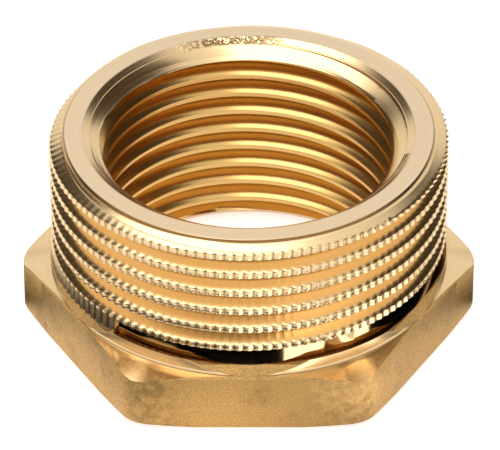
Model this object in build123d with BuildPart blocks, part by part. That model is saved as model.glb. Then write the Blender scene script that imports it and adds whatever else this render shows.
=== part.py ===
from build123d import *
import os
from math import cos, radians, sin, tan

# Hex reducing bush: one piece of hot-pressed brass, turned and threaded. It stands on the face of
# its hexagon with the male thread up, and a smaller female thread runs right through it.
# The frame is +Z up the thread axis, the origin is the centre of the resting face, and two flats
# of the hexagon face +Y and -Y. Lengths are in millimetres and angles in degrees.

# ---- driving dimensions: the two parallel pipe threads, 1 1/4 inch outside and 1 inch inside ----
male_crest_diameter = 41.91
female_crest_diameter = 30.291

# ---- driving dimensions: the hexagon, as pressed ----
flat_margin = 0.15  # how far the flats stand outside the collar, all round the thread
flat_height = 6.42  # resting face to the top of the flats
hex_corner_radius = 3.2
facet_lean = 34.5  # the pressed facets above the flats lean in by this much from upright

# ---- driving dimensions: what is turned on the outside ----
overall_height = 22.9
shoulder_height = 6.7  # resting face to the foot of the collar
shoulder_slope = 9.4  # the turned top of the hexagon falls away outwards
corner_round_width = 0.7  # the corners round over from here outwards
corner_round_drop = 1.2  # and fall by this much at the sharp corner of the bar
base_bevel_width = 2.0  # the bevel under the corners, inwards from a corner's round edge
base_bevel_slope = 13.0  # that bevel rises outwards
collar_step = 0.095  # how far the collar stands outside the male thread's crests
collar_height = 1.42
collar_land = 0.06  # the narrow flat on top of the collar
core_depth = 0.55  # how far the blank's core above the facets lies under the crests
neck_depth = 0.6  # how far the run-out neck lies under the thread's crests
neck_flank_slope = 30.0  # the neck's lower side rises outwards to the collar's top edge
neck_height = 1.93
neck_shoulder_height = 0.12  # the slope from the neck out to the crests
neck_start_angle = 228.0  # where the tool lifted out, measured from +X
neck_arc = 300.0  # the rest of the circle keeps its full diameter
cutter_clearance = 0.5  # how far the neck's cutter stands outside the collar

# ---- driving dimensions: the turned rim around the top face ----
rim_width = 1.655  # from the edge of the top face out to the male thread's crests
rim_step_width = 0.25
rim_step_depth = 0.27
rim_slope = 19.0  # the rim falls away outwards from the step to the thread's crests

# ---- driving dimensions: the chamfers at the bore's two mouths ----
mouth_share = 0.386  # how much of the wall between the two threads the top chamfer takes
mouth_slope = 34.0
base_mouth_share = 0.293
base_mouth_slope = 45.0

# ---- sizes that follow from them ----
male_crest_radius = male_crest_diameter / 2
female_crest_radius = female_crest_diameter / 2
wall = male_crest_radius - female_crest_radius
collar_radius = male_crest_radius + collar_step
hex_apothem = collar_radius + flat_margin
sharp_corner_radius = hex_apothem / cos(radians(30))
corner_reach = sharp_corner_radius - hex_corner_radius * (1 / cos(radians(30)) - 1)
base_face_radius = corner_reach - base_bevel_width
collar_top = shoulder_height + collar_height
neck_radius = male_crest_radius - neck_depth
neck_flank_rise = tan(radians(neck_flank_slope))
land_radius = collar_radius - collar_land
neck_foot = collar_top - (land_radius - neck_radius) * neck_flank_rise
cutter_radius = land_radius + cutter_clearance
cutter_rim = collar_top + cutter_clearance * neck_flank_rise
neck_top = neck_foot + neck_height
thread_foot = neck_top + neck_shoulder_height
top_face_radius = male_crest_radius - rim_width
rim_radius = top_face_radius + rim_step_width
rim_top = overall_height - rim_step_depth
rim_foot = rim_top - (male_crest_radius - rim_radius) * tan(radians(rim_slope))
mouth_radius = female_crest_radius + mouth_share * wall
mouth_foot = overall_height - mouth_share * wall * tan(radians(mouth_slope))
base_mouth_radius = female_crest_radius + base_mouth_share * wall
base_mouth_top = base_mouth_share * wall * tan(radians(base_mouth_slope))
shoulder_radius = corner_reach - corner_round_width
shoulder_fall = tan(radians(shoulder_slope))
shoulder_rim = shoulder_height - (shoulder_radius - collar_radius) * shoulder_fall
corner_foot = shoulder_rim - corner_round_drop
bevel_rim = (sharp_corner_radius - base_face_radius) * tan(radians(base_bevel_slope))


def pressed_hexagon():
    """The outline of the pressed hexagon, with its corners rounded."""
    RegularPolygon(radius=hex_apothem, side_count=6, major_radius=False)
    fillet(vertices(), radius=hex_corner_radius)


with BuildPart() as hex_bushing:
    # The pressing: a hexagonal block, facets that lean in above each flat to a round core, and
    # the shank above the collar.
    with BuildSketch(Plane.XY):
        pressed_hexagon()
    extrude(amount=flat_height)
    with BuildSketch(Plane.XY.offset(flat_height)):
        pressed_hexagon()
    extrude(amount=collar_top - flat_height, taper=facet_lean)
    with BuildSketch(Plane.XY.offset(flat_height)):
        Circle(male_crest_radius - core_depth)
    extrude(amount=overall_height - flat_height)
    with BuildSketch(Plane.XY.offset(collar_top)):
        Circle(male_crest_radius)
    extrude(amount=overall_height - collar_top)

    # Turning: half the section of the finished bush, outside first and then up the bore. What
    # lies inside it stays, so the facets show where the collar's cutter passed over them.
    with BuildSketch(Plane.XZ):
        with BuildLine():
            Polyline(
                (sharp_corner_radius, corner_foot),
                (sharp_corner_radius, bevel_rim),
                (base_face_radius, 0),
                (base_mouth_radius, 0),
                (female_crest_radius, base_mouth_top),
                (female_crest_radius, mouth_foot),
                (mouth_radius, overall_height),
                (top_face_radius, overall_height),
                (top_face_radius, rim_top),
                (rim_radius, rim_top),
                (male_crest_radius, rim_foot),
                (male_crest_radius, collar_top),
                (collar_radius, collar_top),
                (collar_radius, shoulder_height),
                (shoulder_radius, shoulder_rim),
            )
            TangentArc(
                (shoulder_radius, shoulder_rim),
                (sharp_corner_radius, corner_foot),
                tangent=(1, -shoulder_fall),
            )
        make_face()
    revolve(axis=Axis.Z, mode=Mode.INTERSECT)

    # The run-out neck under the thread goes most of the way round. It starts where the tool
    # lifted out, and the blank keeps its full diameter on the rest of the circle.
    neck_side = Vector(cos(radians(neck_start_angle)), sin(radians(neck_start_angle)), 0)
    neck_plane = Plane(origin=(0, 0, 0), x_dir=neck_side, z_dir=neck_side.cross(Vector(0, 0, 1)))
    with BuildSketch(neck_plane):
        with BuildLine():
            Polyline(
                (neck_radius, neck_foot),
                (cutter_radius, cutter_rim),
                (cutter_radius, thread_foot),
                (male_crest_radius, thread_foot),
                (neck_radius, neck_top),
                close=True,
            )
        make_face()
    revolve(axis=Axis.Z, revolution_arc=neck_arc, mode=Mode.SUBTRACT)

hex_bushing.part.label = "hex_bushing"

os.makedirs("parts", exist_ok=True)
export_step(hex_bushing.part, "parts/hex_bushing.step")
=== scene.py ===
# %% [markdown]
# # A brass hexagon reducing bush
#
# A reducing bush lets a narrow pipe screw into a wide fitting. It starts as a hot pressed brass
# blank with a straight knurl around its shank. A lathe then faces it, bores it, and cuts one
# thread outside and a smaller one inside. This notebook follows the same order: the blank
# first, then the two threads, then the finish of pressed, turned and knurled brass.
#
# Lengths are written in millimetres and turned to metres where a mesh is made. The thread axis
# is Z, the bush stands on the face of its hexagon, and two flats face +Y and -Y.

# %% Load the frame
import math

import bpy
import numpy as np
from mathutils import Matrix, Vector


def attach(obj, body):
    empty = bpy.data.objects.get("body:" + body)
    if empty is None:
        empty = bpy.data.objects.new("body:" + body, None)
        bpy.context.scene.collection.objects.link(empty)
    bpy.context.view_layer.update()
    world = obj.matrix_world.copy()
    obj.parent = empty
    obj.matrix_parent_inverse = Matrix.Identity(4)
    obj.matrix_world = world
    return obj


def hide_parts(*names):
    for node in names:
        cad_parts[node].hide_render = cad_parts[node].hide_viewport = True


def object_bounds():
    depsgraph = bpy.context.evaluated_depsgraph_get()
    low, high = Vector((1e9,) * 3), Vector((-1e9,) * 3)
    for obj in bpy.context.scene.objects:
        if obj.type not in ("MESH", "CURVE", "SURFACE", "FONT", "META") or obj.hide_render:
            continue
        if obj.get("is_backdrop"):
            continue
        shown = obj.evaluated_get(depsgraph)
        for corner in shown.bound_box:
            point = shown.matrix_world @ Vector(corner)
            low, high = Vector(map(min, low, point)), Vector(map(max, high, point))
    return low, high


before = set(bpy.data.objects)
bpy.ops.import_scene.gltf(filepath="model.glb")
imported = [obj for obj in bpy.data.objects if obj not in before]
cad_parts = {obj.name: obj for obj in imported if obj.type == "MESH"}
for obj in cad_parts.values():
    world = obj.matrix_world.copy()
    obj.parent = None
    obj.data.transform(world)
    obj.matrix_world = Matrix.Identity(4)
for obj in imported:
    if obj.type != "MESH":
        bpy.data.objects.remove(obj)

cad_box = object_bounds()
MM = 0.001
print("CAD box in metres:", cad_box)

# %% [markdown]
# ## Sizes
#
# The male thread is 1 1/4 inch and the female one 1 inch, both parallel pipe threads with 11
# turns to the inch. The other sizes are those of the solid model.

# %% Sizes of the bush
HEIGHT = 22.9
APOTHEM = 21.2
CORNER_FILLET = 3.2
FLAT_HEIGHT = 6.42
FACET_LEAN = math.radians(34.5)
SHOULDER_HEIGHT = 6.7
SHOULDER_FALL = math.tan(math.radians(9.4))
CORNER_ROUND_WIDTH = 0.7
CORNER_ROUND_CURVE = 0.62  # how fast a corner falls away, per millimetre past its round's start
BASE_FACE_RADIUS = 21.985
BASE_BEVEL_RISE = math.tan(math.radians(13))
COLLAR_RADIUS = 21.05
COLLAR_TOP = 8.12
COLLAR_LAND = 0.06
NECK_RADIUS = 20.355
NECK_FOOT = 7.753
NECK_TOP = 9.68
THREAD_FOOT = 9.8
NECK_START = 228.0
NECK_ARC = 300.0
CREST_RADIUS = 20.955
BORE_RADIUS = 15.1455
RIM_TOP = HEIGHT - 0.27
RIM_RADIUS = 19.55
RIM_FALL = math.tan(math.radians(19))
TOP_FACE_RADIUS = 19.3
MOUTH_RADIUS = 17.39
MOUTH_FALL = math.tan(math.radians(34))
BASE_MOUTH_RADIUS = 16.85
PITCH = 25.4 / 11
THREAD_DEPTH = 0.6403 * PITCH
MALE_LAND = 0.44
FEMALE_LAND = 0.36
FLANK_RUN = THREAD_DEPTH * math.tan(math.radians(27.5))
EDGE_WIDTH = 0.12
EDGE_FALL = 0.9
FLANK_FALL = (THREAD_DEPTH - EDGE_WIDTH * EDGE_FALL) / (FLANK_RUN - EDGE_WIDTH)
TEETH = 132
FLUTE = 0.25
RIDGE_SHARE = 0.32
ROUNDING_SHARE = 0.30  # how much of a pitch the brass is rounded over beside a crest
WELD = 0.004
CRISP_ANGLE = 26
print(f"pitch {PITCH:.3f} mm, thread depth {THREAD_DEPTH:.3f} mm")

# %% [markdown]
# ## The turned blank
#
# The bush is one closed skin, so it is laid out as one grid. Each column is the bush's section
# at one angle, and each row runs round the axis. Four columns stand on each knurl tooth: one on
# its ridge, one each side of it, and one in the hollow. The hexagon, its leaning facets and the
# turned shoulder meet in curves, so each column works out where they cross.

# %% The angles of the columns
tooth = 360.0 / TEETH
COLUMN_PARTS = (0.0, 0.2, 0.5, 0.8)
column_angles = np.array([tooth * (k + part) for k in range(TEETH) for part in COLUMN_PARTS])
print(len(column_angles), "columns")


# %% The pressed hexagon and its leaning facets
def hexagon_radius(angle, inset=0.0):
    """Distance from the axis to the rounded hexagon, moved inwards by inset."""
    off = abs((angle - 90.0 + 30.0) % 60.0 - 30.0)
    apothem = APOTHEM - inset
    fillet = max(CORNER_FILLET - inset, 0.05)
    flat = apothem / math.cos(math.radians(off))
    centre = (apothem - fillet) / math.cos(math.radians(30.0))
    side = math.radians(30.0 - off)
    if flat * math.sin(math.radians(off)) <= (apothem - fillet) * math.tan(math.radians(30.0)):
        return flat
    reach = centre * math.sin(side)
    return centre * math.cos(side) + math.sqrt(max(fillet ** 2 - reach ** 2, 0.0))


def pressed_radius(angle, height):
    """The pressing's radius: upright flats, then facets that lean in."""
    return hexagon_radius(angle, max(0.0, height - FLAT_HEIGHT) * math.tan(FACET_LEAN))


CORNER_REACH = hexagon_radius(0.0)
SHOULDER_RADIUS = CORNER_REACH - CORNER_ROUND_WIDTH


def shoulder_height(radius):
    """The turned top of the hexagon, which rounds over at the corners."""
    cone = SHOULDER_HEIGHT - (min(radius, SHOULDER_RADIUS) - COLLAR_RADIUS) * SHOULDER_FALL
    past = max(0.0, radius - SHOULDER_RADIUS)
    return cone - past * SHOULDER_FALL - CORNER_ROUND_CURVE * past ** 2


def meet(low, high, test):
    """The height between low and high where test turns from true to false."""
    for _ in range(40):
        middle = (low + high) / 2
        if test(middle):
            low = middle
        else:
            high = middle
    return low


def flute_depth(angle):
    """The knurl: rounded ridges with hollows between them."""
    off = abs((angle / tooth + 0.5) % 1.0 - 0.5)
    return FLUTE * min(off / RIDGE_SHARE, 1.0)


print(f"corner reach {CORNER_REACH:.3f} mm, flat {hexagon_radius(90):.3f} mm")


# %% The outside of one column, from the base up to the foot of the thread
def outside_section(angle):
    """(radius, height) up the outside at one angle, always the same number of points."""
    side = hexagon_radius(angle)
    necked = (angle - NECK_START) % 360.0 <= NECK_ARC
    points = [(BASE_MOUTH_RADIUS, 0.0)]
    bevel = max(0.0, (side - BASE_FACE_RADIUS) * BASE_BEVEL_RISE)
    points.append((min(BASE_FACE_RADIUS, side - 0.25), 0.0))
    points.append((side - 0.07, bevel + 0.07))
    points.append((side, bevel + 0.25))
    flat_top = min(FLAT_HEIGHT, shoulder_height(side))
    points.append((side, flat_top - 0.06))
    if pressed_radius(angle, SHOULDER_HEIGHT) <= COLLAR_RADIUS:
        crossing = SHOULDER_HEIGHT
    else:
        crossing = meet(flat_top, SHOULDER_HEIGHT,
                        lambda z: z < shoulder_height(pressed_radius(angle, z)))
    points.append((pressed_radius(angle, crossing) - 0.02, crossing))
    at_foot = pressed_radius(angle, SHOULDER_HEIGHT)
    points.append((min(COLLAR_RADIUS - 0.06, at_foot), SHOULDER_HEIGHT))
    wall_foot = SHOULDER_HEIGHT + 0.08
    points.append((min(COLLAR_RADIUS, pressed_radius(angle, wall_foot)), wall_foot))
    wall_top = meet(wall_foot, COLLAR_TOP, lambda z: pressed_radius(angle, z) > COLLAR_RADIUS)
    points.append((min(COLLAR_RADIUS, pressed_radius(angle, wall_top)), wall_top))
    land = COLLAR_RADIUS - COLLAR_LAND
    slope = (COLLAR_TOP - NECK_FOOT) / (land - NECK_RADIUS)
    if necked:
        top = meet(NECK_FOOT - 0.3, COLLAR_TOP,
                   lambda z: z < COLLAR_TOP + (min(pressed_radius(angle, z), land) - land) * slope)
        if pressed_radius(angle, top) < NECK_RADIUS:
            top = meet(SHOULDER_HEIGHT, COLLAR_TOP,
                       lambda z: pressed_radius(angle, z) > NECK_RADIUS)
        outer = min(COLLAR_RADIUS, pressed_radius(angle, top))
        points.append((max(outer, NECK_RADIUS), max(top, wall_top)))
        points.append((max(min(outer, land), NECK_RADIUS), max(top, wall_top)))
        points.append((NECK_RADIUS, min(NECK_FOOT, max(top, wall_top))))
        points.append((NECK_RADIUS, NECK_TOP))
    else:
        full = CREST_RADIUS - flute_depth(angle)
        outer = min(COLLAR_RADIUS, pressed_radius(angle, COLLAR_TOP))
        points.append((outer, COLLAR_TOP))
        points.append((min(outer, full + 0.3), COLLAR_TOP))
        points.append((full, COLLAR_TOP))
        points.append((full, NECK_TOP))
    return points


print(len(outside_section(270.0)), "points up the outside at a flat")
print(len(outside_section(240.0)), "points up the outside at a corner")

# %% [markdown]
# ## Rows that follow the threads
#
# A thread's edges climb round the axis, so its rows have to climb with them, or each edge
# becomes a staircase. Every column gets the heights of the edges at its own angle, mixed in
# order with a few level rows for the chamfers that cut across the thread. The rows that would
# lie beyond an end are held at it, and are welded away later. One turn raises a thread by one
# pitch, so the last column joins the first with its rows moved by one pitch.

# %% Heights of the climbing rows
FORM_OUTSIDE = (-0.5, -0.428, -0.15, -0.095, 0.0, 0.095, 0.15, 0.428)
FORM_INSIDE = (-0.5, -0.412, -0.13, -0.078, 0.078, 0.13, 0.412)
MALE_START = HEIGHT - 1.16 - PITCH * 270.0 / 360.0
FEMALE_START = HEIGHT - 1.43 - PITCH * 90.0 / 360.0


def climbing_rows(angle, start, form, low, high, level_rows):
    """Heights of the rows between low and high at one angle, from the bottom up."""
    turns = range(-12, 3)
    rows = [start + PITCH * (k + angle / 360.0 + part) for k in turns for part in form]
    return sorted(min(max(z, low), high) for z in rows + list(level_rows))


def rim_radius_at(z):
    return min(CREST_RADIUS, RIM_RADIUS + (RIM_TOP - z) / RIM_FALL)


def bore_radius_at(z):
    top = MOUTH_RADIUS - (HEIGHT - z) / MOUTH_FALL
    return max(BORE_RADIUS, top, BASE_MOUTH_RADIUS - z)


MOUTH_SHIFT = (MOUTH_RADIUS - BORE_RADIUS - THREAD_DEPTH) * MOUTH_FALL
FEMALE_TOP = HEIGHT - MOUTH_SHIFT
FEMALE_LOW = BASE_MOUTH_RADIUS - BORE_RADIUS - THREAD_DEPTH
RIM_FOOT = RIM_TOP - (CREST_RADIUS - RIM_RADIUS) * RIM_FALL
rim_rows = np.linspace(RIM_TOP, RIM_FOOT, 6)
mouth_rows = np.linspace(FEMALE_TOP, HEIGHT - (MOUTH_RADIUS - BORE_RADIUS) * MOUTH_FALL, 7)
base_mouth_rows = np.linspace(FEMALE_LOW, BASE_MOUTH_RADIUS - BORE_RADIUS, 6)
print(f"male thread {THREAD_FOOT:.2f} to {RIM_TOP:.2f} mm")
print(f"female thread {FEMALE_LOW:.2f} to {FEMALE_TOP:.2f} mm")

# %% Lay the columns out, up the outside, over the top and down the bore
columns = []
for angle in column_angles:
    column = [(r, z, 0) for r, z in outside_section(angle)]
    male = climbing_rows(angle, MALE_START, FORM_OUTSIDE, THREAD_FOOT, RIM_TOP, rim_rows)
    column += [(rim_radius_at(z), z, 1) for z in male]
    column += [(TOP_FACE_RADIUS + 0.02, RIM_TOP, 0), (TOP_FACE_RADIUS, RIM_TOP + 0.03, 0)]
    column += [(TOP_FACE_RADIUS, HEIGHT - 0.04, 0), (TOP_FACE_RADIUS - 0.04, HEIGHT, 0)]
    column += [(MOUTH_RADIUS + 0.03, HEIGHT, 0)]
    female = climbing_rows(angle, FEMALE_START, FORM_INSIDE, FEMALE_LOW, FEMALE_TOP,
                           list(mouth_rows) + list(base_mouth_rows))
    column += [(bore_radius_at(z), z, 2) for z in reversed(female)]
    columns.append(column)
rows = len(columns[0])
kind = np.array([point[2] for point in columns[0]])
male_rows = np.flatnonzero(kind == 1)
female_rows = np.flatnonzero(kind == 2)
print(rows, "rows:", len(male_rows), "on the male thread and", len(female_rows), "on the female")

# %% Join the columns into one closed skin
section = np.array(columns)
turn = np.radians(column_angles)[:, None]
radii, heights = section[:, :, 0], section[:, :, 1]
place = np.stack([radii * np.cos(turn), radii * np.sin(turn), heights], axis=2)


def row_on_next_column(row, seam):
    """The row that a row joins on the next column: one pitch further along where the seam is."""
    if not seam:
        return row
    if kind[row] == 1:
        moved = row + len(FORM_OUTSIDE)
        return min(moved, male_rows[-1])
    if kind[row] == 2:
        moved = row - len(FORM_INSIDE)
        return max(moved, female_rows[0])
    return row


faces = []
count = len(column_angles)
for c in range(count):
    after = (c + 1) % count
    seam = after == 0
    for row in range(rows):
        up = (row + 1) % rows
        a, b = c * rows + row, c * rows + up
        d = after * rows + row_on_next_column(row, seam)
        e = after * rows + row_on_next_column(up, seam)
        faces.append((a, d, e, b) if d != e else (a, d, b))
blank_mesh = bpy.data.meshes.new("bush_blank")
blank_mesh.from_pydata((place.reshape(-1, 3) * MM).tolist(), [], faces)
for name, number in (("male_thread", 1), ("female_thread", 2)):
    mask = blank_mesh.attributes.new(name, "FLOAT", "POINT")
    mask.data.foreach_set("value", np.tile((kind == number).astype(float), count))
blank = bpy.data.objects.new("bush_blank", blank_mesh)
bpy.context.scene.collection.objects.link(blank)
print(len(blank_mesh.vertices), "points,", len(faces), "faces")

# %% [markdown]
# ## Sums on sockets
#
# The thread is a rule, so Geometry Nodes cut it: the rule says how deep the tool goes for each
# height and angle. Node sums are hard to read as boxes, so a small class wraps a socket and
# lets Python's own operators add the Math nodes. The same class serves the materials.


# %% A socket that can be reckoned with
class Sum:
    """A number or vector coming out of a node, in a geometry or a shader tree."""

    def __init__(self, tree, socket):
        self.tree = tree
        self.socket = socket

    def node(self, kind_of_node, settings=None, output=0, **sockets):
        """Adds any node. Settings are set first, then the values or links of its sockets."""
        made = self.tree.nodes.new(kind_of_node)
        for key, value in (settings or {}).items():
            setattr(made, key, value)
        for key, value in sockets.items():
            name = key[1:] if key[0] == "_" else key.replace("_", " ")
            target = made.inputs[int(name)] if name.isdigit() else made.inputs[name]
            if isinstance(value, Sum):
                self.tree.links.new(value.socket, target)
            else:
                target.default_value = value
        return Sum(self.tree, made.outputs[output])

    def math(self, operation, *others, clamp=False):
        settings = {"operation": operation, "use_clamp": clamp}
        values = {f"_{i}": value for i, value in enumerate((self, *others))}
        return self.node("ShaderNodeMath", settings, **values)

    def __add__(self, other):
        return self.math("ADD", other)

    def __radd__(self, other):
        return self.math("ADD", other)

    def __sub__(self, other):
        return self.math("SUBTRACT", other)

    def __rsub__(self, other):
        return self.node("ShaderNodeMath", {"operation": "SUBTRACT"}, _0=other, _1=self)

    def __mul__(self, other):
        return self.math("MULTIPLY", other)

    def __truediv__(self, other):
        return self.math("DIVIDE", other)

    def __abs__(self):
        return self.math("ABSOLUTE")

    def least(self, other):
        return self.math("MINIMUM", other)

    def most(self, other):
        return self.math("MAXIMUM", other)

    def held(self):
        """Held between 0 and 1."""
        return self.math("ADD", 0.0, clamp=True)

    def above(self, edge, width):
        """0 below the edge and 1 above it, with a soft step of that width."""
        return ((self - edge) / width + 0.5).held()

    def below(self, edge, width):
        return 1.0 - self.above(edge, width)

    def between(self, low, high):
        """1 between two soft steps. Each is its edge and its width."""
        return self.above(*low) * self.below(*high)


print("Sum can", ", ".join(name for name in vars(Sum) if name[0] != "_"))

# %% [markdown]
# ## Cutting the threads
#
# Inside the tree, the height above the start of the thread, less the height that the helix has
# climbed by this angle, says where a point lies across the thread's form: 0 is the middle of a
# crest and a half is the middle of a root. The Whitworth form has flanks at 27.5 degrees. The
# male thread may only take metal off the outside, and the female only off the bore, so each
# keeps the smaller or larger of the blank's radius and its own. The knurl was on the blank
# before the thread was cut, so only the crests still show it.


# %% The thread-cutting tree
def thread_tree():
    tree = bpy.data.node_groups.new("thread_cutter", "GeometryNodeTree")
    face = tree.interface
    face.new_socket("Blank", in_out="INPUT", socket_type="NodeSocketGeometry")
    for name, value in (("Pitch", PITCH), ("Depth", THREAD_DEPTH),
                        ("Male crest", CREST_RADIUS), ("Male start", MALE_START),
                        ("Male land", MALE_LAND), ("Female crest", BORE_RADIUS),
                        ("Female start", FEMALE_START), ("Female land", FEMALE_LAND),
                        ("Knurl teeth", float(TEETH)), ("Knurl depth", FLUTE),
                        ("Knurl ridge", RIDGE_SHARE), ("Edge width", EDGE_WIDTH),
                        ("Edge fall", EDGE_FALL), ("Flank fall", FLANK_FALL)):
        face.new_socket(name, in_out="INPUT", socket_type="NodeSocketFloat").default_value = value
    face.new_socket("Brass", in_out="INPUT", socket_type="NodeSocketMaterial")
    face.new_socket("Bush", in_out="OUTPUT", socket_type="NodeSocketGeometry")
    entry = tree.nodes.new("NodeGroupInput")
    given = {socket.name: Sum(tree, socket) for socket in entry.outputs if socket.name}
    start = given["Pitch"]
    where = start.node("GeometryNodeInputPosition")
    split = where.node("ShaderNodeSeparateXYZ", Vector=where).socket.node
    x, y, z = (Sum(tree, split.outputs[i]) * 1000.0 for i in range(3))
    radius = (x * x + y * y).math("SQRT")
    climbed = y.math("ARCTAN2", x) / math.tau

    def form(begin, land):
        """Depth of the cut: none on the land, then a rounded edge, the flank and the root."""
        across = ((z - begin) / given["Pitch"] - climbed + 100.5).math("FRACT") - 0.5
        past_land = (abs(across) * given["Pitch"] - land * 0.5).most(0.0)
        past_edge = (past_land - given["Edge width"]) * given["Flank fall"]
        flank = past_edge + given["Edge width"] * given["Edge fall"]
        return (past_land * given["Edge fall"]).most(flank).least(given["Depth"])

    tooth_off = abs((climbed * given["Knurl teeth"] + 1000.5).math("FRACT") - 0.5)
    flute = given["Knurl depth"] * (tooth_off / given["Knurl ridge"]).least(1.0)
    male = given["Male crest"] - form(given["Male start"], given["Male land"]).most(flute)
    female = given["Female crest"] + form(given["Female start"], given["Female land"])

    def cut(geometry, mask_name, new_radius):
        mask = start.node("GeometryNodeInputNamedAttribute", {"data_type": "FLOAT"}, Name=mask_name)
        scale = new_radius / radius
        moved = start.node("ShaderNodeCombineXYZ", X=x * scale * MM, Y=y * scale * MM, Z=z * MM)
        return geometry.node("GeometryNodeSetPosition", Geometry=geometry,
                             Selection=mask.math("GREATER_THAN", 0.5), Position=moved)

    turned = cut(given["Blank"], "male_thread", radius.least(male))
    bored = cut(turned, "female_thread", radius.most(female))
    real = bored.node("GeometryNodeRealizeInstances", Geometry=bored)
    dressed = real.node("GeometryNodeSetMaterial", Geometry=real, Material=given["Brass"])
    leave = tree.nodes.new("NodeGroupOutput")
    tree.links.new(dressed.socket, leave.inputs["Bush"])
    return tree


cutter = thread_tree()
print(len(cutter.nodes), "nodes in the thread cutter")

# %% [markdown]
# ## From the tree to one plain mesh
#
# The modifier's inputs are set by each socket's own identifier. The evaluated object gives a
# plain mesh, where the rows held at the ends of a thread are welded, the normals are made to
# point out, and every edge sharper than 26 degrees is kept crisp.


# %% Run the tree and weld the skin
import bmesh

brass = bpy.data.materials.new("brass")
brass.use_nodes = True
modifier = blank.modifiers.new("cut the threads", "NODES")
modifier.node_group = cutter
for item in cutter.interface.items_tree:
    if item.in_out == "INPUT" and item.name == "Brass":
        modifier[item.identifier] = brass
bpy.context.view_layer.update()
evaluated = blank.evaluated_get(bpy.context.evaluated_depsgraph_get())
bush_mesh = bpy.data.meshes.new_from_object(evaluated)
bush_mesh.name = "bush"
bpy.data.objects.remove(blank)
work = bmesh.new()
work.from_mesh(bush_mesh)
bmesh.ops.remove_doubles(work, verts=work.verts, dist=WELD * MM)
bmesh.ops.recalc_face_normals(work, faces=work.faces)
open_edges = sum(1 for edge in work.edges if not edge.is_manifold)
work.to_mesh(bush_mesh)
print(f"{len(work.verts)} points, {len(work.faces)} faces, {open_edges} open edges")
print(f"volume {work.calc_volume() * 1e6:.2f} cm3")
work.free()
bush_mesh.shade_smooth()
bush_mesh.set_sharp_from_angle(angle=math.radians(CRISP_ANGLE))
bush = bpy.data.objects.new("hex_bush", bush_mesh)
bpy.context.scene.collection.objects.link(bush)
triangles = sum(len(polygon.vertices) - 2 for polygon in bush_mesh.polygons)
print(triangles, "triangles")

# %% [markdown]
# ## Brass
#
# One brass, four finishes. The flats and facets are as pressed and blasted: grainy, dull and
# mottled with tarnish. The shoulder, collar, neck, rim and mouths are turned, with fine rings
# from the tool. The thread's flanks are smooth and deep gold, and its crests keep the knurl.
# Where each one lies follows from the height and the distance from the axis.

# %% Where a point is on the bush
shader = brass.node_tree
shader.nodes.clear()
seed = Sum(shader, None)
coordinates = seed.node("ShaderNodeTexCoord", output=3)
parts = seed.node("ShaderNodeSeparateXYZ", Vector=coordinates).socket.node
normal = seed.node("ShaderNodeNewGeometry", output=3)
px, py, pz = (Sum(shader, parts.outputs[i]) * 1000.0 for i in range(3))
from_axis = (px * px + py * py).math("SQRT")
facing = seed.node("ShaderNodeSeparateXYZ", output=2, Vector=normal)


def noise(scale, detail=3.0, rough=0.55, vector=None):
    """Even grain from 0 to 1, with its scale in grains per millimetre."""
    return seed.node("ShaderNodeTexNoise", {"noise_dimensions": "3D"},
                     Vector=vector or coordinates, Scale=scale * 1000.0, Detail=detail,
                     Roughness=rough)


def rings(per_mm, detail=2.0):
    """Tool rings: grain that changes with radius and height, hardly at all round the axis."""
    place = seed.node("ShaderNodeCombineXYZ", X=from_axis * MM, Y=pz * MM, Z=0.0)
    return noise(per_mm, detail, 0.6, place)


grain = noise(5.0, 4.0, 0.65)
blotches = noise(0.22, 3.0, 0.6)
coarse = noise(1.1, 3.0, 0.6)
tool_rings = rings(4.0)
print("position and grain ready")

# %% Masks: where each finish lies
# A leaning facet is told by its slope: it faces up more than a flat and less than the shoulder.
shoulder_line = SHOULDER_HEIGHT - (from_axis - COLLAR_RADIUS) * SHOULDER_FALL
ragged = (coarse - 0.5) * 0.5
on_shoulder = (pz - shoulder_line + ragged).above(-0.4, 0.15) * facing.above(0.75, 0.1)
on_collar = (from_axis.between((COLLAR_RADIUS - 0.03, 0.01), (COLLAR_RADIUS + 0.03, 0.02))
             * pz.above(SHOULDER_HEIGHT - 0.02, 0.02))
above_collar = pz.above(COLLAR_TOP, 0.02)
on_base = pz.below(0.01, 0.01)
on_facet = facing.between((0.45, 0.05), (0.68, 0.05)) * from_axis.above(19.8, 0.02)
pressed_zone = (from_axis.above(20.9, 0.02) + on_facet).held()
turned_zone = (1.0 - on_shoulder) * (1.0 - on_collar) * (1.0 - on_base)
pressed = ((1.0 - above_collar) * pressed_zone * turned_zone).held()
in_bore = from_axis.below(17.3, 0.05) * pz.below(HEIGHT - 1.52, 0.06)
on_top = pz.above(HEIGHT - 0.05, 0.03)
on_neck = (pz.between((COLLAR_TOP - 0.42, 0.02), (NECK_TOP + 0.05, 0.05))
           * from_axis.between((19.0, 0.1), (20.6, 0.05)))
print("masks ready")

# %% Across the threads: rounding beside each crest, and painted shade in the roots and the knurl hollows
turn_share = py.math("ARCTAN2", px) / math.tau


def across(begin):
    """0 in the middle of a crest and a half in the middle of a root."""
    return abs(((pz - begin) / PITCH - turn_share + 100.5).math("FRACT") - 0.5)


def rounding(place, land):
    """How much a flank is rounded beside its crest: rises from the crest's edge and levels off."""
    left = 1.0 - ((place - land / 2 / PITCH) / ROUNDING_SHARE).held()
    return 1.0 - left * left * left


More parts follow.
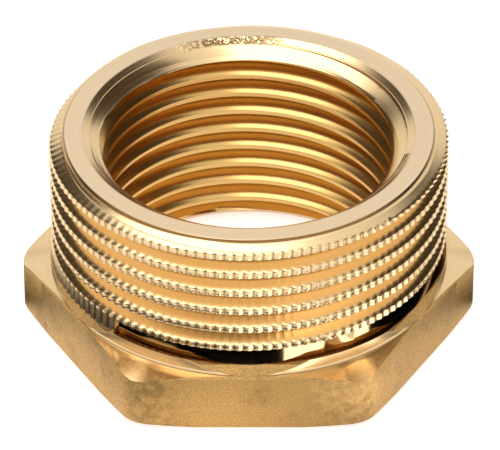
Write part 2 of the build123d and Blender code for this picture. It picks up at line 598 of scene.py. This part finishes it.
male_place = across(MALE_START)
female_place = across(FEMALE_START)
on_male = from_axis.above(19.0, 0.1) * pz.between((THREAD_FOOT, 0.02), (HEIGHT - 0.7, 0.05))
on_female = from_axis.below(16.75, 0.05)
male_rounding = rounding(male_place, MALE_LAND) * on_male
female_rounding = rounding(female_place, FEMALE_LAND) * on_female
# Painted shade: the thread roots are darkened, standing in for the shade under each crest.
male_root = male_place.above(0.40, 0.06) * on_male
female_root = female_place.above(0.40, 0.06) * on_female
root_painted_shade = (male_root + female_root * 0.6).held()
# Painted shade: the knurl hollows on the crests are darkened, standing in for their shadows.
tooth_place = abs((turn_share * float(TEETH) + 1000.5).math("FRACT") - 0.5)
knurled = (from_axis.between((20.62, 0.05), (CREST_RADIUS + 0.03, 0.02))
           * above_collar * (1.0 - on_top))
knurl_painted_shade = tooth_place.above(0.36, 0.14) * knurled
cove = 1.0 - ((pz - SHOULDER_HEIGHT) / 0.45).held()
collar_cove = cove * cove * on_collar
print("rounding and dirt ready")

# %% Colour, roughness and bump
def mix(factor, first, second):
    return seed.node("ShaderNodeMix", {"data_type": "RGBA"}, output=2,
                     _0=factor, _6=first, _7=second)


TARNISH_BROWN = (0.20, 0.12, 0.05, 1)
# The brown of the painted shade and painted dark reflection, of the rim step's line and of the
# burrs.
SHADE_AND_MARK_BROWN = (0.17, 0.08, 0.022, 1)
turned_colour = mix(tool_rings, (0.77, 0.53, 0.26, 1), (0.87, 0.65, 0.37, 1))
top_colour = mix(tool_rings, (0.72, 0.53, 0.32, 1), (0.82, 0.65, 0.44, 1))
bore_colour = mix(tool_rings, (0.62, 0.36, 0.10, 1), (0.80, 0.53, 0.21, 1))
pressed_colour = mix(grain.above(0.5, 0.4), (0.42, 0.235, 0.065, 1), (0.78, 0.49, 0.185, 1))

# The front flat is marked near both of its corners, and duller on its right.
on_front_flat = py.below(-20.0, 0.5)
near_corners = px.between((-12.5, 1.5), (-7.5, 4.0)) + px.between((7.0, 4.0), (13.5, 1.5))
corner_marks = near_corners * on_front_flat
front_right_film = px.between((2.0, 7.0), (13.0, 2.0)) * py.below(-20.5, 0.3)
mottle = blotches.above(0.60, 0.16) * coarse.above(0.5, 0.5)
tarnish = (mottle + corner_marks * coarse.above(0.5, 0.25) * 0.8).held()
pressed_colour = mix(tarnish * 0.6, pressed_colour, TARNISH_BROWN)
pressed_colour = mix(front_right_film * 0.30, pressed_colour, TARNISH_BROWN)
colour = mix(in_bore, turned_colour, bore_colour)
colour = mix(on_top, colour, top_colour)
colour = mix(pressed, colour, pressed_colour)

# Painted shade darkens the thread roots, the knurl hollows and the neck flank; a painted dark
# reflection darkens the whole neck; the step round the top face has a darker line, and the burrs
# are dark specks.
# Painted shade on the neck flank under the thread, and a painted dark reflection over the whole
# neck (on_neck).
neck_flank = (from_axis.between((NECK_RADIUS + 0.03, 0.02), (COLLAR_RADIUS - 0.08, 0.02))
              * pz.above(NECK_FOOT - 0.05, 0.02) * (1.0 - above_collar))
# A darker line round the step at the top face's edge.
rim_step_darkening = (from_axis.between((TOP_FACE_RADIUS - 0.02, 0.03), (TOP_FACE_RADIUS + 0.2, 0.06))
            * pz.between((HEIGHT - 0.5, 0.05), (HEIGHT - 0.06, 0.04)))
burr_place = (turn_share.between((0.225, 0.03), (0.31, 0.03)) * pz.above(HEIGHT - 0.75, 0.2)
              * from_axis.between((16.7, 0.2), (MOUTH_RADIUS + 0.15, 0.1)))
burrs = burr_place * noise(2.2, 3.0, 0.7).above(0.52, 0.08)
painted_shade_and_marks = (root_painted_shade * 0.5 + knurl_painted_shade * 0.6 + neck_flank * 0.7 + on_neck * 0.45 + rim_step_darkening * 0.5
        + burrs * 0.8)
colour = mix(painted_shade_and_marks.held(), colour, SHADE_AND_MARK_BROWN)

turned_roughness = 0.17 + tool_rings * 0.10 + on_top * 0.12 + on_collar * 0.12 - on_neck * 0.12
roughness = turned_roughness * (1.0 - pressed) + pressed * (0.44 + grain * 0.16)
bump_height = (grain * pressed * 0.05 + tool_rings * (1.0 - pressed) * 0.003
               + male_rounding * 0.06 + female_rounding * 0.04 + burrs * 0.1 + collar_cove * 0.2)
bump = seed.node("ShaderNodeBump", Strength=1.0, Distance=MM, Height=bump_height)
metal = seed.node("ShaderNodeBsdfPrincipled", Base_Color=colour, Metallic=1.0,
                  Roughness=roughness, Normal=bump)
surface = shader.nodes.new("ShaderNodeOutputMaterial")
shader.links.new(metal.socket, surface.inputs["Surface"])
print(len(shader.nodes), "nodes in the brass")

# %% [markdown]
# ## Hand the bush to the frame
#
# The dressed bush replaces the plain solid and rides on the same body.

# %% Hand over
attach(bush, "root")
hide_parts("hex_bushing")
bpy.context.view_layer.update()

# %% [markdown]
# ## Studio
#
# Turned brass is a mirror in bands, so what stands round it is half its look. The floor and the
# world are white. A soft box hangs overhead and to the left, and dark flags stand high on both
# sides, so that the threads darken towards their ends. Small cards lie on the floor in front,
# where the smooth neck under the thread mirrors them. Flags and cards only show in reflections.

# %% Floor
def stage_sheet(name, corners, material):
    """A flat stage piece through the given corners, in millimetres."""
    mesh = bpy.data.meshes.new(name)
    points = [tuple(c * MM for c in corner) for corner in corners]
    mesh.from_pydata(points, [], [tuple(range(len(points)))])
    mesh.materials.append(material)
    made = bpy.data.objects.new(name, mesh)
    bpy.context.scene.collection.objects.link(made)
    made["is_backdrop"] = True
    return made


def empty_material(name):
    """A new material, with a start for its node sums."""
    material = bpy.data.materials.new(name)
    material.use_nodes = True
    material.node_tree.nodes.clear()
    return material, Sum(material.node_tree, None)


def show(tree, result, output="ShaderNodeOutputMaterial"):
    """Links a result to the tree's output."""
    end = tree.nodes.new(output)
    tree.links.new(result.socket, end.inputs["Surface"])


def plain_glow(name, strength, colour=(1, 1, 1)):
    """A sheet that shines evenly, or not at all."""
    material, begin = empty_material(name)
    light = begin.node("ShaderNodeEmission", Color=(*colour, 1), Strength=strength)
    show(material.node_tree, light)
    return material


def seen_white(begin):
    """1 for the rays that look: the camera's, mirrored and transmitted ones."""
    path = begin.node("ShaderNodeLightPath").socket.node
    looks = [Sum(begin.tree, path.outputs[name])
             for name in ("Is Camera Ray", "Is Glossy Ray", "Is Transmission Ray")]
    return looks[0].most(looks[1]).most(looks[2])


def floor_white(glow):
    """White to the camera and in reflections, and still shaded a little by the bush."""
    material, begin = empty_material("floor_white")
    seen = seen_white(begin)
    matt = begin.node("ShaderNodeBsdfDiffuse", Color=(0.8, 0.8, 0.8, 1))
    light = begin.node("ShaderNodeEmission", Color=(1, 1, 1, 1), Strength=glow)
    both = begin.node("ShaderNodeAddShader", _0=matt, _1=light)
    mixed = begin.node("ShaderNodeMixShader", _0=seen, _1=matt, _2=both)
    show(material.node_tree, mixed)
    return material


FLOOR_REACH = 1500.0
FLOOR_LEVEL = -0.05
floor_corners = [(x * FLOOR_REACH, y * FLOOR_REACH, FLOOR_LEVEL)
                 for x, y in ((-1, -1), (1, -1), (1, 1), (-1, 1))]
stage_sheet("studio_floor", floor_corners, floor_white(0.70))
print("floor laid")

# %% Flags high on both sides, and cards in front of the neck
def only_mirrored(sheet):
    """Hides a sheet from everything but reflections."""
    sheet.visible_camera = False
    sheet.visible_diffuse = False
    sheet.visible_transmission = False
    sheet.visible_shadow = False


FLAG_DISTANCE = 350.0
black = plain_glow("card_black", 0.0)
brown = plain_glow("flag_brown", 0.05, (1.0, 0.72, 0.45))
FLAGS = {
    "flag_right": [(0.46, -0.30, 0.84), (0.46, -0.06, 0.875), (0.37, 0.58, 0.72),
                   (0.62, 0.75, 0.12), (0.98, 0.10, 0.12)],
    "flag_left": [(-0.60, -0.10, 0.78), (-0.53, 0.31, 0.78), (-0.37, 0.60, 0.71),
                  (-0.62, 0.75, 0.12), (-0.98, 0.10, 0.12)],
}
for name, directions in FLAGS.items():
    corners = [Vector(d).normalized() * FLAG_DISTANCE for d in directions]
    only_mirrored(stage_sheet(name, [tuple(c) for c in corners], brown))


def neck_card(name, first, last, near, far, material):
    """A strip on the floor, where the neck mirrors it between two angles from the front."""
    edge = []
    there = np.linspace(first, last, 13)
    back_again = np.linspace(last, first, 13)
    for reach, angles in ((near, there), (far, back_again)):
        for degrees in angles:
            a = math.radians(degrees)
            edge.append((NECK_RADIUS * math.sin(a) + reach * math.sin(2 * a),
                         -NECK_RADIUS * math.cos(a) - reach * math.cos(2 * a), 0.02))
    only_mirrored(stage_sheet(name, edge, material))


white = plain_glow("card_white", 3.4)
CARDS = (
    ("card_front_left", -76.0, 10.4, 8.6, 17.0, black),
    ("card_front_right", 10.4, 38.0, 8.6, 17.0, white),
    ("card_front_right_far", 10.4, 38.0, 17.0, 32.0, plain_glow("card_pale", 1.5)),
    ("card_right", 38.0, 88.0, 8.6, 17.0, black),
)
for card in CARDS:
    neck_card(*card)
print(len(FLAGS), "flags and", len(CARDS), "cards")

# %% World and lamps
world = bpy.data.worlds.new("studio")
bpy.context.scene.world = world
world.use_nodes = True
world.node_tree.nodes.clear()
sky = Sum(world.node_tree, None)
sky_strength = seen_white(sky) * 0.6 + 0.4
sky_glow = sky.node("ShaderNodeBackground", Color=(1, 1, 1, 1), Strength=sky_strength)
show(world.node_tree, sky_glow, "ShaderNodeOutputWorld")


def soft_light(name, size, place, aim, shine):
    """A rectangular lamp whose face shines as brightly as shine times white."""
    lamp = bpy.data.lights.new(name, "AREA")
    lamp.shape = "RECTANGLE"
    lamp.size, lamp.size_y = size
    lamp.energy = shine * math.pi * size[0] * size[1]
    holder = bpy.data.objects.new(name, lamp)
    sight = Vector(aim) - Vector(place)
    holder.matrix_world = sight.to_track_quat("-Z", "Y").to_matrix().to_4x4()
    holder.location = place
    bpy.context.scene.collection.objects.link(holder)


soft_light("overhead", (0.24, 0.38), (-0.075, -0.045, 0.33), (-0.075, -0.045, 0.0), 2.0)
print(len(bpy.data.lights), "lamps")

# %% Camera
IMAGE_WIDTH = 500
FOCAL_PIXELS = 4910
elevation = math.radians(36.331)
distance = 0.520
aim = Vector((0.000132, 0.0, 0.010579))
back = Vector((0, -math.cos(elevation), math.sin(elevation)))
lens = bpy.data.cameras.new("camera")
lens.sensor_width = 36.0
lens.lens = FOCAL_PIXELS / IMAGE_WIDTH * lens.sensor_width
lens.clip_start = 0.01
camera = bpy.data.objects.new("camera", lens)
camera.matrix_world = back.to_track_quat("Z", "Y").to_matrix().to_4x4()
camera.location = aim + back * distance
bpy.context.scene.collection.objects.link(camera)
bpy.context.scene.camera = camera
bpy.context.scene.view_settings.view_transform = "Standard"
print("camera at", tuple(round(v, 4) for v in camera.location))
print("lens", round(lens.lens, 1), "mm")

# %% Sizes of the solid model and the scene, and done
def corners(box):
    return [[float(c) for c in corner] for corner in box]


bpy.context.view_layer.update()
{"cad": corners(cad_box), "visual": corners(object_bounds())}
